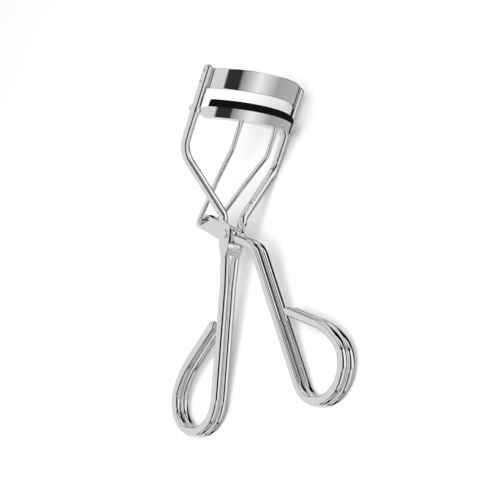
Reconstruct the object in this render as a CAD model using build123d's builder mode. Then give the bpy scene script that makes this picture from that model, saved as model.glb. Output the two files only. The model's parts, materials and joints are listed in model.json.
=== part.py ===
"""Eyelash curler: a bent-wire frame with a fixed upper jaw, a lever with a crank,
and a lower jaw with a soft pad that the crank pushes up the frame's two rails.

The curler is drawn in its own working frame, in millimetres:
  origin  the pivot rivet's centre
  X       along the pivot rivet, across the jaws
  Y       towards the convex side of the jaws, where the lever's handle is
  Z       along the rails, towards the jaws
Every piece is then laid down in one move, the way the curler rests on a table: on its right
side, touching at both right finger loops and the right rail's bend. On the table +Z is up,
the jaws point towards +Y and their convex side towards +X.
"""

from build123d import *
from math import cos, radians, sin, sqrt, tan
import os

os.makedirs("parts", exist_ok=True)

# ---- wire of the frame and the lever
wire_r = 1.3

# ---- frame: rails, flattened eyes and handle
rail_x = 16.6
rail_y = -11.8
rail_top = 43.4
rail_bend_z = 18.5
rail_bend_r = 8.0
tab_flat = 0.15
neck_x = 3.45
neck_r = 2.6
eye_x = 2.6
eye_thick = 0.9
eye_wide = 4.3
eye_top_z = 1.9
eye_low_z = -3.2
taper = 1.4
waist_z = -4.8
round_z = -6.4
round_gap = 0.4
pair_z = -14.0
frame_handle_angle = 21.3
frame_handle_y = -0.7
frame_handle_len = 46.2

# ---- lever: blades inside the bracket, elbow and handle
blade_thick = 0.95
blade_high = 3.0
blade_end_y = -5.0
blade_nose_y = 2.5
lever_round_y = 4.0
lever_elbow = (11.6, 0.6)
lever_elbow_r = 7.0
lever_handle_angle = 52.2
lever_handle_len = 43.7

# ---- finger loops, the same on both handles
loop_r = 9.0
loop_turn = 198.0
return_r = 22.0
return_turn = 25.0
frame_return_len = 13.2
lever_return_len = 11.6

# ---- pivot rivet
rivet_r = 0.95
rivet_head_r = 1.35
rivet_head_h = 0.75
rivet_seat_x = 2.95
running_gap = 0.05

# ---- block between the frame's rods
block_top_z = -3.45
block_low_z = -5.35
block_half = 2.1
block_deep = 2.9

# ---- crank bracket
bracket_half = 2.05
bracket_sheet = 0.8
bracket_low = -2.4
bracket_high = 1.9
bracket_tail_y = -15.3
bracket_nose_y = 2.3
bracket_corner = 1.4
bracket_end_wall = 0.5

# ---- push rods and the slot that takes their feet
push_r = 0.7
push_x = 6.2
push_knee_z = 23.3
push_waist = (5.0, -7.8, 14.4)
push_knee_r = 4.0
foot_x = 2.95
foot_tip_x = 0.95
foot_y = -13.3
foot_z = -0.6
foot_r = 1.0
slot_gap = 0.12
slot_outer = (-13.85, -0.62)
slot_inner = (-13.25, -0.6)
slot_nose = (-10.2, 0.95)
slot_nose_r = 0.2
paddle_half = 0.95
paddle_thick = 0.5
paddle_long = 2.2

# ---- jaws: arcs in planes that rise towards the middle of the jaw
jaw_half = 14.95
jaw_end_y = -10.5
jaw_sag = 7.5
jaw_rise = 2.6
tab_y = -13.1
upper_low_z = 37.2
upper_high_z = 43.1
upper_sheet = 1.0
jaw_edge_r = 0.2
channel_low_z = 28.9
channel_high_z = 31.8
channel_wide = 3.2
channel_wall = 0.55
channel_half = 14.6
groove_half = 15.8
pad_high_z = 34.15
pad_wide = 2.0
pad_head_wide = 3.0
pad_half = 14.1
pad_crown = 0.9

# ---- guides of the lower jaw on the rails
guide_gap = 0.08
guide_sheet = 0.55
guide_low_z = 29.9
guide_high_z = 31.3
tongue_inner_x = 14.2
tongue_outer_x = 15.6
tongue_wide = 2.0

# ---- small rivets through rail and tab
jaw_rivet_r = 0.42
jaw_rivet_head_r = 0.55
jaw_rivet_head_h = 0.25
jaw_rivet_seat_x = 17.75
jaw_rivet_zs = (38.3, 41.6)

# ---- resting attitude: the table's upward normal in the working frame
table_up = (0.9808, -0.1027, 0.1656)

slope = jaw_rise / jaw_sag
jaw_r = (jaw_half**2 + jaw_sag**2) / (2 * jaw_sag)
jaw_centre_y = jaw_end_y + jaw_sag - jaw_r
handle_axis = (0, sin(radians(frame_handle_angle)), -cos(radians(frame_handle_angle)))


def jaw_y(x):
    """The Y of the jaws' middle arc at the distance x from the middle plane."""
    return jaw_centre_y + sqrt(jaw_r**2 - x**2)


def jaw_plane(z):
    """The rising plane of a jaw's edge whose ends are at height z."""
    return Plane(origin=(0, jaw_end_y, z), x_dir=(1, 0, 0), z_dir=(0, -slope, 1))


def frame_line(z, x=0):
    """The point of the frame handle's centre line at height z."""
    return (x, frame_handle_y - z * tan(radians(frame_handle_angle)), z)


def round_wire(path, radius):
    """Sweep a round section along a path, inside the part being built."""
    with BuildSketch(Plane(origin=path @ 0, z_dir=path % 0)) as section:
        Circle(radius)
    sweep(section.sketch, path=path)


def hammered(stations, along):
    """Loft a flattened stretch of wire: stations are (point, half thickness in X, half width)."""
    sections = []
    for point, thick, wide in stations:
        with BuildSketch(Plane(origin=point, x_dir=(1, 0, 0), z_dir=along)) as section:
            Ellipse(thick, wide)
        sections.append(section.sketch)
    loft(sections)


def handle(x, start, angle, length, turn, return_len):
    """A handle's straight run, finger loop and rounded free end, in the plane at x."""
    heading = (sin(radians(angle)), -cos(radians(angle)))
    with BuildLine(Plane.YZ.offset(x)) as path:
        run = Line(start, (start[0] + heading[0] * length, start[1] + heading[1] * length))
        bottom = JernArc(run @ 1, run % 1, loop_r, turn * loop_turn)
        back = JernArc(bottom @ 1, bottom % 1, return_r, turn * return_turn)
        end = Line(back @ 1, back @ 1 + (back % 1) * return_len)
    round_wire(path.line, wire_r)
    with Locations(end @ 1):
        Sphere(wire_r)


def frame_rod(side):
    """One of the frame's two rods: rail, slanting run, flattened eye, handle and loop."""
    eye_half = eye_thick / 2
    top_eye = frame_line(eye_top_z, side * eye_x)
    low_eye = frame_line(eye_low_z, side * eye_x)
    neck = frame_line(eye_top_z + taper, side * neck_x)
    shoulder = frame_line(eye_top_z + 2 * taper, side * neck_x)
    rounded = frame_line(round_z, side * (wire_r + round_gap))
    waist = frame_line(waist_z, (low_eye[0] + rounded[0]) / 2)
    pair = frame_line(pair_z, side * wire_r)
    with BuildPart() as rod:
        with BuildLine() as rail:
            FilletPolyline(
                (side * rail_x, rail_y, rail_top - wire_r),
                (side * rail_x, rail_y, rail_bend_z),
                shoulder,
                neck,
                radius=[rail_bend_r, neck_r],
            )
        round_wire(rail.line, wire_r)
        with Locations((side * rail_x, rail_y, rail_top - wire_r)):
            Sphere(wire_r)
        hammered([(neck, wire_r, wire_r), (top_eye, eye_half, eye_wide / 2)], handle_axis)
        eye_plane = Plane(origin=frame_line(0, side * eye_x), x_dir=(1, 0, 0), z_dir=handle_axis)
        with BuildSketch(eye_plane.offset(-eye_top_z / -handle_axis[2])):
            Ellipse(eye_half, eye_wide / 2)
        extrude(amount=(eye_top_z - eye_low_z) / -handle_axis[2])
        waist_section = (waist, (eye_half + wire_r) / 2, (eye_wide / 2 + wire_r) / 2)
        low_section = (low_eye, eye_half, eye_wide / 2)
        hammered([low_section, waist_section, (rounded, wire_r, wire_r)], handle_axis)
        hammered([(rounded, wire_r, wire_r), (pair, wire_r, wire_r)], handle_axis)
        run = frame_handle_len + pair_z / -handle_axis[2]
        handle(side * wire_r, pair[1:], frame_handle_angle, run, -1, frame_return_len)
        with Locations(Location((side * eye_x, 0, 0), (0, 90, 0))):
            Cylinder(rivet_r, 2 * wire_r, mode=Mode.SUBTRACT)
        with Locations(Location((side * (rivet_seat_x + 0.5), 0, 0), (0, 90, 0))):
            Cylinder(rivet_head_r + 0.05, 1, mode=Mode.SUBTRACT)
        with Locations((side * (rail_x - wire_r + tab_flat - 0.5), rail_y, upper_high_z - 2.6)):
            Box(1, 2 * wire_r, 8.8, mode=Mode.SUBTRACT)
        for z in jaw_rivet_zs:
            with Locations(Location((side * rail_x, rail_y, z), (0, 90, 0))):
                Cylinder(jaw_rivet_r, 4 * wire_r, mode=Mode.SUBTRACT)
            with Locations(Location((side * (jaw_rivet_seat_x + 0.5), rail_y, z), (0, 90, 0))):
                Cylinder(jaw_rivet_head_r + 0.03, 1, mode=Mode.SUBTRACT)
    return rod


def lever_rod(side):
    """One of the lever's two rods: blade on the pivot, elbow, handle and loop."""
    blade_x = side * (blade_thick / 2 + 0.02)
    with BuildPart() as rod:
        with BuildSketch(Plane.YZ.offset(blade_x)) as outline:
            with Locations(((blade_nose_y + blade_end_y) / 2, 0)):
                Rectangle(blade_nose_y - blade_end_y, blade_high)
        extrude(amount=blade_thick / 2, both=True)
        start = (side * wire_r, lever_round_y, 0)
        root = ((blade_x, blade_nose_y - 0.1, 0), blade_thick / 2 - 0.04, blade_high / 2 - 0.1)
        hammered([root, (start, wire_r, wire_r)], (0, 1, 0))
        angle = radians(lever_handle_angle)
        far = (lever_elbow[0] + 10 * sin(angle), lever_elbow[1] - 10 * cos(angle))
        with BuildLine(Plane.YZ.offset(side * wire_r)) as elbow:
            FilletPolyline((lever_round_y, 0), lever_elbow, far, radius=lever_elbow_r)
        round_wire(elbow.line, wire_r)
        handle(side * wire_r, far, lever_handle_angle, lever_handle_len - 10, 1, lever_return_len)
        with Locations(Location((blade_x, 0, 0), (0, 90, 0))):
            Cylinder(rivet_r + running_gap, 2 * blade_thick, mode=Mode.SUBTRACT)
    return rod


def jaw_strip(width, start, end):
    """A strip of the given width along the jaws' arc between two distances in X."""
    middle = (start + end) / 2
    with BuildLine() as arc:
        ThreePointArc((start, jaw_y(start)), (middle, jaw_y(middle)), (end, jaw_y(end)))
    with BuildSketch() as strip:
        trace(arc.line, line_width=width)
    return strip.sketch


def push_rod(side):
    """A push rod: paddle under the lower jaw, two bends, and a foot through the crank's slot."""
    top_y = jaw_y(push_x)
    top_z = channel_low_z + slope * (top_y - jaw_end_y)
    top = (side * push_x, top_y, top_z - paddle_long)
    knee = (side * push_x, top_y, push_knee_z)
    waist = (side * push_waist[0], push_waist[1], push_waist[2])
    with BuildPart() as rod:
        with BuildLine() as path:
            FilletPolyline(
                top,
                knee,
                waist,
                (side * foot_x, foot_y, foot_z),
                (side * foot_tip_x, foot_y, foot_z),
                radius=[push_knee_r, push_knee_r, foot_r],
            )
        round_wire(path.line, push_r)
        paddle_end = (side * push_x, top_y, top_z + 0.5)
        hammered([(top, push_r, push_r), (paddle_end, paddle_half, paddle_thick)], (0, 0, 1))
        split(bisect_by=jaw_plane(channel_low_z), keep=Keep.BOTTOM)
    return rod


def rail_guide(side):
    """A guide: a sleeve that slides on the rail, with a tongue into the lower jaw's groove."""
    with BuildPart() as guide:
        add(extrude(jaw_strip(tongue_wide, side * tongue_inner_x, side * tongue_outer_x), amount=60))
        split(bisect_by=jaw_plane(channel_low_z + channel_wall), keep=Keep.TOP)
        split(bisect_by=jaw_plane(channel_high_z - 0.1), keep=Keep.BOTTOM)
        with BuildSketch(Plane.XY.offset(guide_low_z)):
            with Locations((side * rail_x, rail_y)):
                Circle(wire_r + guide_gap + guide_sheet)
        extrude(amount=guide_high_z - guide_low_z)
        with BuildSketch(Plane.XY.offset(channel_low_z)):
            with Locations((side * rail_x, rail_y)):
                Circle(wire_r + guide_gap)
        extrude(amount=10, mode=Mode.SUBTRACT)
    return guide


# ---- frame
frame_rod_left = frame_rod(1)
frame_rod_right = frame_rod(-1)

with BuildPart() as handle_block:
    with Locations(frame_line((block_top_z + block_low_z) / 2)):
        Box(2 * block_half, block_deep, block_top_z - block_low_z)
    fillet(handle_block.edges().filter_by(Axis.X), 0.3)
    add(frame_rod_left.part, mode=Mode.SUBTRACT)
    add(frame_rod_right.part, mode=Mode.SUBTRACT)

with BuildPart() as pivot_rivet:
    with Locations(Location((0, 0, 0), (0, 90, 0))):
        Cylinder(rivet_r, 2 * rivet_seat_x + 0.2)
    for side in (-1, 1):
        seat = Plane(origin=(side * rivet_seat_x, 0, 0), x_dir=(0, 1, 0), z_dir=(side, 0, 0))
        with BuildSketch(seat):
            Circle(rivet_head_r)
        extrude(amount=rivet_head_h)
        fillet(pivot_rivet.faces().sort_by(Axis.X)[-1 if side > 0 else 0].edges(), rivet_head_h - 0.1)

with BuildPart() as upper_jaw:
    add(extrude(jaw_strip(upper_sheet, -jaw_half, jaw_half), amount=60))
    for side in (-1, 1):
        with BuildSketch():
            with Locations((side * jaw_half, (jaw_end_y + tab_y) / 2)):
                Rectangle(upper_sheet, jaw_end_y - tab_y)
        extrude(amount=60)
    split(bisect_by=jaw_plane(upper_low_z), keep=Keep.TOP)
    split(bisect_by=jaw_plane(upper_high_z), keep=Keep.BOTTOM)
    broad = Axis((0, 0, 0), jaw_plane(0).z_dir)
    edge_faces = upper_jaw.faces().sort_by(broad)
    fillet(edge_faces[0].edges() + edge_faces[-1].edges(), jaw_edge_r)
    for z in jaw_rivet_zs:
        with Locations(Location((0, rail_y, z), (0, 90, 0))):
            Cylinder(jaw_rivet_r, 4 * rail_x, mode=Mode.SUBTRACT)

with BuildPart() as upper_jaw_rivets:
    tab_x = jaw_half - upper_sheet / 2
    for side in (-1, 1):
        for z in jaw_rivet_zs:
            with Locations(Location((side * (tab_x + jaw_rivet_seat_x) / 2, rail_y, z), (0, 90, 0))):
                Cylinder(jaw_rivet_r, jaw_rivet_seat_x - tab_x)
            for x, out in ((jaw_rivet_seat_x, side), (tab_x, -side)):
                seat = Plane(origin=(side * x, rail_y, z), x_dir=(0, 1, 0), z_dir=(out, 0, 0))
                with BuildSketch(seat):
                    Circle(jaw_rivet_head_r)
                extrude(amount=jaw_rivet_head_h, taper=25)

# ---- lever
lever_rod_left = lever_rod(1)
lever_rod_right = lever_rod(-1)

with BuildPart() as crank_bracket:
    with BuildSketch(Plane.YZ) as cheek:
        with Locations(((bracket_tail_y + bracket_nose_y) / 2, (bracket_low + bracket_high) / 2)):
            RectangleRounded(bracket_nose_y - bracket_tail_y, bracket_high - bracket_low, bracket_corner)
    extrude(amount=bracket_half, both=True)
    web_top = bracket_low + bracket_sheet
    with Locations((0, bracket_tail_y + bracket_end_wall + 15, web_top + 5)):
        Box(2 * (bracket_half - bracket_sheet), 30, 10, mode=Mode.SUBTRACT)
    with BuildSketch(Plane.YZ) as slot:
        with Locations(slot_outer, slot_inner):
            Circle(push_r + slot_gap)
        with Locations(slot_nose):
            Circle(slot_nose_r)
        make_hull()
    extrude(amount=3 * bracket_half, both=True, mode=Mode.SUBTRACT)
    with Locations(Location((0, 0, 0), (0, 90, 0))):
        Cylinder(rivet_r + running_gap, 4 * bracket_half, mode=Mode.SUBTRACT)

# ---- lower jaw, its pad, guides and push rods
with BuildPart() as groove:
    add(extrude(jaw_strip(channel_wide - 2 * channel_wall, -groove_half, groove_half), amount=60))
    split(bisect_by=jaw_plane(channel_low_z + channel_wall), keep=Keep.TOP)

with BuildPart() as lower_jaw:
    add(extrude(jaw_strip(channel_wide, -channel_half, channel_half), amount=60))
    split(bisect_by=jaw_plane(channel_low_z), keep=Keep.TOP)
    split(bisect_by=jaw_plane(channel_high_z), keep=Keep.BOTTOM)
    add(groove.part, mode=Mode.SUBTRACT)

with BuildPart() as pad_root:
    add(extrude(jaw_strip(pad_wide, -pad_half, pad_half), amount=60))
    split(bisect_by=jaw_plane(channel_low_z + channel_wall), keep=Keep.TOP)
    split(bisect_by=jaw_plane(channel_high_z + 0.5), keep=Keep.BOTTOM)

with BuildPart() as lash_pad:
    add(extrude(jaw_strip(pad_head_wide, -pad_half, pad_half), amount=60))
    split(bisect_by=jaw_plane(channel_high_z), keep=Keep.TOP)
    split(bisect_by=jaw_plane(pad_high_z), keep=Keep.BOTTOM)
    rising = Axis((0, 0, 0), jaw_plane(0).z_dir)
    fillet(lash_pad.faces().sort_by(rising)[-1].edges(), pad_crown)
    add(pad_root.part)

rail_guide_left = rail_guide(1)
rail_guide_right = rail_guide(-1)
push_rod_left = push_rod(1)
push_rod_right = push_rod(-1)

# ---- every piece, laid down on the table
pieces = {
    "frame_rod_left": frame_rod_left,
    "frame_rod_right": frame_rod_right,
    "handle_block": handle_block,
    "pivot_rivet": pivot_rivet,
    "upper_jaw": upper_jaw,
    "upper_jaw_rivets": upper_jaw_rivets,
    "lever_rod_left": lever_rod_left,
    "lever_rod_right": lever_rod_right,
    "crank_bracket": crank_bracket,
    "lower_jaw": lower_jaw,
    "lash_pad": lash_pad,
    "rail_guide_left": rail_guide_left,
    "rail_guide_right": rail_guide_right,
    "push_rod_left": push_rod_left,
    "push_rod_right": push_rod_right,
}

up = Vector(table_up).normalized()
ahead = Vector(0, 0, 1) - up * up.Z
table = Plane(origin=(0, 0, 0), x_dir=ahead.cross(up), z_dir=up)
laid = {name: table.location.inverse() * piece.part for name, piece in pieces.items()}
box = Compound(list(laid.values())).bounding_box()
centred = Location((-box.center().X, -box.center().Y, -box.min.Z))
for name, piece in laid.items():
    resting = centred * piece
    resting.label = name
    export_step(resting, f"parts/{name}.step")
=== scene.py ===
"""An eyelash curler on a pale table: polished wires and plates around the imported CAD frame.

Every visible piece is a CAD node, so this script adds the materials, the table, the studio
round it and the camera. Lengths are in metres and MM turns millimetres into them.
"""

import json

import bpy
from mathutils import Matrix, Vector

MM = 0.001

# camera, in the curler's own axes (X along the pivot, Y to the lever's side, Z along the rails)
CAMERA_PLACE = Vector((300.4, 378.6, 78.4)) * MM
CAMERA_RIGHT = Vector((-0.771, 0.562, 0.299))
CAMERA_AHEAD = Vector((-0.622, -0.765, -0.165))
CAMERA_CLIP = 10 * MM
SENSOR = 36.0
LENS = 126.6

# the room round the curler, fixed to the curler's own axes: its front faces the main view
ROOM_FRONT = -CAMERA_AHEAD
ROOM_RIGHT = CAMERA_RIGHT
ROOM_UP = CAMERA_RIGHT.cross(CAMERA_AHEAD)

# grey levels of the walls by the turn from the front, in degrees, to the right positive
WALLS_LOW = (
    (-180, 0.75),
    (-14, 0.75),
    (-12, 0.03),
    (10, 0.03),
    (13, 0.3),
    (45, 0.95),
    (85, 0.4),
    (150, 0.5),
    (155, 0),
    (172, 0),
    (180, 0.75),
)
WALLS_HIGH = (
    (-180, 0.75),
    (2, 0.75),
    (4, 0),
    (40, 0),
    (43, 1),
    (97, 1),
    (102, 0),
    (156, 0),
    (165, 0.5),
    (180, 0.75),
)

# by the rise from the room's bottom (-1) to its top (1): the share of the high walls, and the
# bands that run round the room and darken both
SHARE = ((-1, 0), (-0.06, 0), (0.04, 1), (1, 1))
BANDS = (
    (-1, 0.9),
    (-0.92, 0.9),
    (-0.9, 0.1),
    (-0.86, 0.1),
    (-0.84, 1),
    (0.72, 1),
    (0.74, 0.02),
    (0.79, 0.02),
    (0.81, 1),
    (1, 1),
)

# the one lamp: its place from the pivot, the side of its square and its watts
KEY_PLACE = Vector((0.65, 0.02, 0.75))
KEY_SIDE = 0.5
KEY_POWER = 9

# chrome: the smudges and the polishing marks are the same on wire and sheet
CHROME_TONE = (0.86, 0.87, 0.88)
SMUDGE_SIZE = 3 * MM
MARK_SIZE = 0.15 * MM
MARK_STRETCH = (1, 6, 1)
MARK_DEPTH = 0.0001 * MM
WIRE_ROUGHNESS = 0.02
WIRE_WAVE = 8 * MM
WIRE_WAVE_DEPTH = 0.004 * MM
SHEET_ROUGHNESS = 0.04
SHEET_WAVE = 6 * MM
SHEET_WAVE_DEPTH = 0.006 * MM
SHEET_NODES = ("upper_jaw", "upper_jaw_rivets", "lower_jaw", "crank_bracket")

# rubber and table
RUBBER_TONE = (0.003, 0.003, 0.003)
RUBBER_GRAIN = 0.25 * MM
RUBBER_RELIEF = 0.02 * MM
FLOOR_TONE = (0.93, 0.93, 0.93)
FLOOR_ROUGHNESS = 0.9
FLOOR_SIDE = 6
DULL_SPECULAR = 0.06
METAL_SPECULAR = 0.5

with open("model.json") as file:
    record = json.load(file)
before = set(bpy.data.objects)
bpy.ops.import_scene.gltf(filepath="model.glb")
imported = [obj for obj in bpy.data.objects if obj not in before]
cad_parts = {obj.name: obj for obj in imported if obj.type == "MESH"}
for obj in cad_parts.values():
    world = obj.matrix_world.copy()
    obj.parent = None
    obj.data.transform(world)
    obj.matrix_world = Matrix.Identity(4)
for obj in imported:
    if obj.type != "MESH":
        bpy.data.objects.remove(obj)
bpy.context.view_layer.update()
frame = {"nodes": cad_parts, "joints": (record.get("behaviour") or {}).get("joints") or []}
joints = {joint["name"]: joint for joint in frame["joints"]}
pivot = Vector(joints["lever_hinge"]["pos_m"])
along_pivot = -Vector(joints["lever_hinge"]["axis"]).normalized()
along_rails = Vector(joints["jaw_slide"]["axis"]).normalized()
lever_side = along_rails.cross(along_pivot).normalized()
curler_axes = Matrix((along_pivot, lever_side, along_rails)).transposed()


def material(name, colour, metallic, roughness):
    """A principled material; constants sit on the shader's own sockets."""
    made = bpy.data.materials.new(name)
    made.use_nodes = True
    shader = made.node_tree.nodes["Principled BSDF"]
    shader.inputs["Base Color"].default_value = (*colour, 1)
    shader.inputs["Metallic"].default_value = metallic
    shader.inputs["Roughness"].default_value = roughness
    shader.inputs["Specular IOR Level"].default_value = METAL_SPECULAR if metallic else DULL_SPECULAR
    return made


def grain(tree, size, detail, stretch=(1, 1, 1)):
    """Noise whose features are about size metres across, drawn out along a stretched axis."""
    place = tree.nodes.new("ShaderNodeTexCoord").outputs["Object"]
    scale = tree.nodes.new("ShaderNodeMapping")
    scale.inputs["Scale"].default_value = [1 / (size * along) for along in stretch]
    noise = tree.nodes.new("ShaderNodeTexNoise")
    noise.inputs["Scale"].default_value = 1
    noise.inputs["Detail"].default_value = detail
    tree.links.new(place, scale.inputs["Vector"])
    tree.links.new(scale.outputs["Vector"], noise.inputs["Vector"])
    return noise.outputs["Fac"]


def vary_roughness(made, fac, low, high):
    """Let the roughness run from low to high over the middle of a noise."""
    tree = made.node_tree
    span = tree.nodes.new("ShaderNodeMapRange")
    span.inputs["From Min"].default_value = 0.3
    span.inputs["From Max"].default_value = 0.7
    span.inputs["To Min"].default_value = low
    span.inputs["To Max"].default_value = high
    tree.links.new(fac, span.inputs["Value"])
    tree.links.new(span.outputs["Result"], tree.nodes["Principled BSDF"].inputs["Roughness"])


def relief(made, height, depth, under=None):
    """Raise the surface by a noise, depth metres high, over an earlier relief if there is one."""
    tree = made.node_tree
    bump = tree.nodes.new("ShaderNodeBump")
    bump.inputs["Strength"].default_value = 1
    bump.inputs["Distance"].default_value = depth
    tree.links.new(height, bump.inputs["Height"])
    if under is not None:
        tree.links.new(under, bump.inputs["Normal"])
    tree.links.new(bump.outputs["Normal"], tree.nodes["Principled BSDF"].inputs["Normal"])
    return bump.outputs["Normal"]


def chrome(name, roughness, wave_size, wave_depth):
    """Chrome plating: finger smudges in its gloss, slow waves of the polishing and fine marks."""
    made = material(name, CHROME_TONE, 1.0, roughness)
    tree = made.node_tree
    vary_roughness(made, grain(tree, SMUDGE_SIZE, 4), 0.5 * roughness, 2.0 * roughness)
    waves = relief(made, grain(tree, wave_size, 1), wave_depth)
    relief(made, grain(tree, MARK_SIZE, 3, MARK_STRETCH), MARK_DEPTH, waves)
    return made


def rubber(name):
    """Moulded black rubber: a fine grain from the mould and a faint bloom on the surface."""
    made = material(name, RUBBER_TONE, 0.0, 0.6)
    tree = made.node_tree
    vary_roughness(made, grain(tree, SMUDGE_SIZE, 3), 0.5, 0.75)
    relief(made, grain(tree, RUBBER_GRAIN, 3), RUBBER_RELIEF)
    return made


def dress(node, surface):
    """Give a CAD node a material."""
    slots = frame["nodes"][node].data.materials
    slots.clear()
    slots.append(surface)


def ramp(tree, fac, stops):
    """A colour ramp of greys; stops are (position, level), the first at 0 and the last at 1."""
    node = tree.nodes.new("ShaderNodeValToRGB")
    elements = node.color_ramp.elements
    elements[0].color = (*[stops[0][1]] * 3, 1)
    elements[1].color = (*[stops[-1][1]] * 3, 1)
    for position, level in stops[1:-1]:
        elements.new(position).color = (level, level, level, 1)
    tree.links.new(fac, node.inputs["Fac"])
    return node.outputs["Color"]


def mix(tree, blend, share, first, second):
    """Two colours blended, by a share or in full."""
    node = tree.nodes.new("ShaderNodeMix")
    node.data_type = "RGBA"
    node.blend_type = blend
    node.inputs["Factor"].default_value = 1
    if share is not None:
        tree.links.new(share, node.inputs["Factor"])
    tree.links.new(first, node.inputs["A"])
    tree.links.new(second, node.inputs["B"])
    return node.outputs["Result"]


def studio():
    """The room round the curler: pale walls with a few dark flags, which draw the thin dark
    lines along polished wire."""
    world = bpy.data.worlds.new("studio")
    bpy.context.scene.world = world
    world.use_nodes = True
    tree = world.node_tree
    look = tree.nodes.new("ShaderNodeTexCoord").outputs["Generated"]
    axes = tree.nodes.new("ShaderNodeCombineXYZ")
    for slot, axis in zip("XYZ", (ROOM_FRONT, ROOM_RIGHT, ROOM_UP)):
        dot = tree.nodes.new("ShaderNodeVectorMath")
        dot.operation = "DOT_PRODUCT"
        dot.inputs[1].default_value = curler_axes @ axis
        tree.links.new(look, dot.inputs[0])
        tree.links.new(dot.outputs["Value"], axes.inputs[slot])
    around = tree.nodes.new("ShaderNodeTexGradient")
    around.gradient_type = "RADIAL"
    tree.links.new(axes.outputs[0], around.inputs["Vector"])
    low, high = (
        ramp(tree, around.outputs["Fac"], [(0.5 + turn / 360, level) for turn, level in walls])
        for walls in (WALLS_LOW, WALLS_HIGH)
    )
    split = tree.nodes.new("ShaderNodeSeparateXYZ")
    height = tree.nodes.new("ShaderNodeMapRange")
    height.inputs["From Min"].default_value = -1
    tree.links.new(axes.outputs[0], split.inputs[0])
    tree.links.new(split.outputs["Z"], height.inputs["Value"])
    share, bands = (
        ramp(tree, height.outputs["Result"], [(0.5 + rise / 2, level) for rise, level in rises])
        for rises in (SHARE, BANDS)
    )
    walls = mix(tree, "MIX", share, low, high)
    banded = mix(tree, "MULTIPLY", None, walls, bands)
    tree.links.new(banded, tree.nodes["Background"].inputs["Color"])


def softbox(name, place, side, power):
    """A square area light aimed at the pivot, unseen in the chrome."""
    data = bpy.data.lights.new(name, "AREA")
    data.size = side
    data.energy = power
    lamp = bpy.data.objects.new(name, data)
    lamp.visible_glossy = False
    lamp.location = pivot + place
    lamp.rotation_euler = (-place).to_track_quat("-Z", "Y").to_euler()
    bpy.context.scene.collection.objects.link(lamp)


def table():
    """The pale table; the chrome shows the room instead of it."""
    bpy.ops.mesh.primitive_plane_add(size=FLOOR_SIDE)
    floor = bpy.context.object
    floor.name = "floor"
    floor.data.materials.append(material("pale_floor", FLOOR_TONE, 0.0, FLOOR_ROUGHNESS))
    floor.visible_glossy = False


def camera():
    """A long lens, fixed to the curler's own axes."""
    right = (curler_axes @ CAMERA_RIGHT).normalized()
    ahead = (curler_axes @ CAMERA_AHEAD).normalized()
    up = right.cross(ahead).normalized()
    data = bpy.data.cameras.new("camera")
    data.sensor_width = SENSOR
    data.lens = LENS
    data.clip_start = CAMERA_CLIP
    seen = bpy.data.objects.new("camera", data)
    turn = Matrix((right, up, -ahead)).transposed().to_4x4()
    seen.matrix_world = Matrix.Translation(pivot + curler_axes @ CAMERA_PLACE) @ turn
    bpy.context.scene.collection.objects.link(seen)
    bpy.context.scene.camera = seen


wire_chrome = chrome("polished_chrome", WIRE_ROUGHNESS, WIRE_WAVE, WIRE_WAVE_DEPTH)
sheet_chrome = chrome("plate_chrome", SHEET_ROUGHNESS, SHEET_WAVE, SHEET_WAVE_DEPTH)
for node in frame["nodes"]:
    dress(node, sheet_chrome if node in SHEET_NODES else wire_chrome)
dress("lash_pad", rubber("black_rubber"))

table()
studio()
softbox("key", KEY_PLACE, KEY_SIDE, KEY_POWER)
camera()
bpy.context.scene.view_settings.view_transform = "Standard"
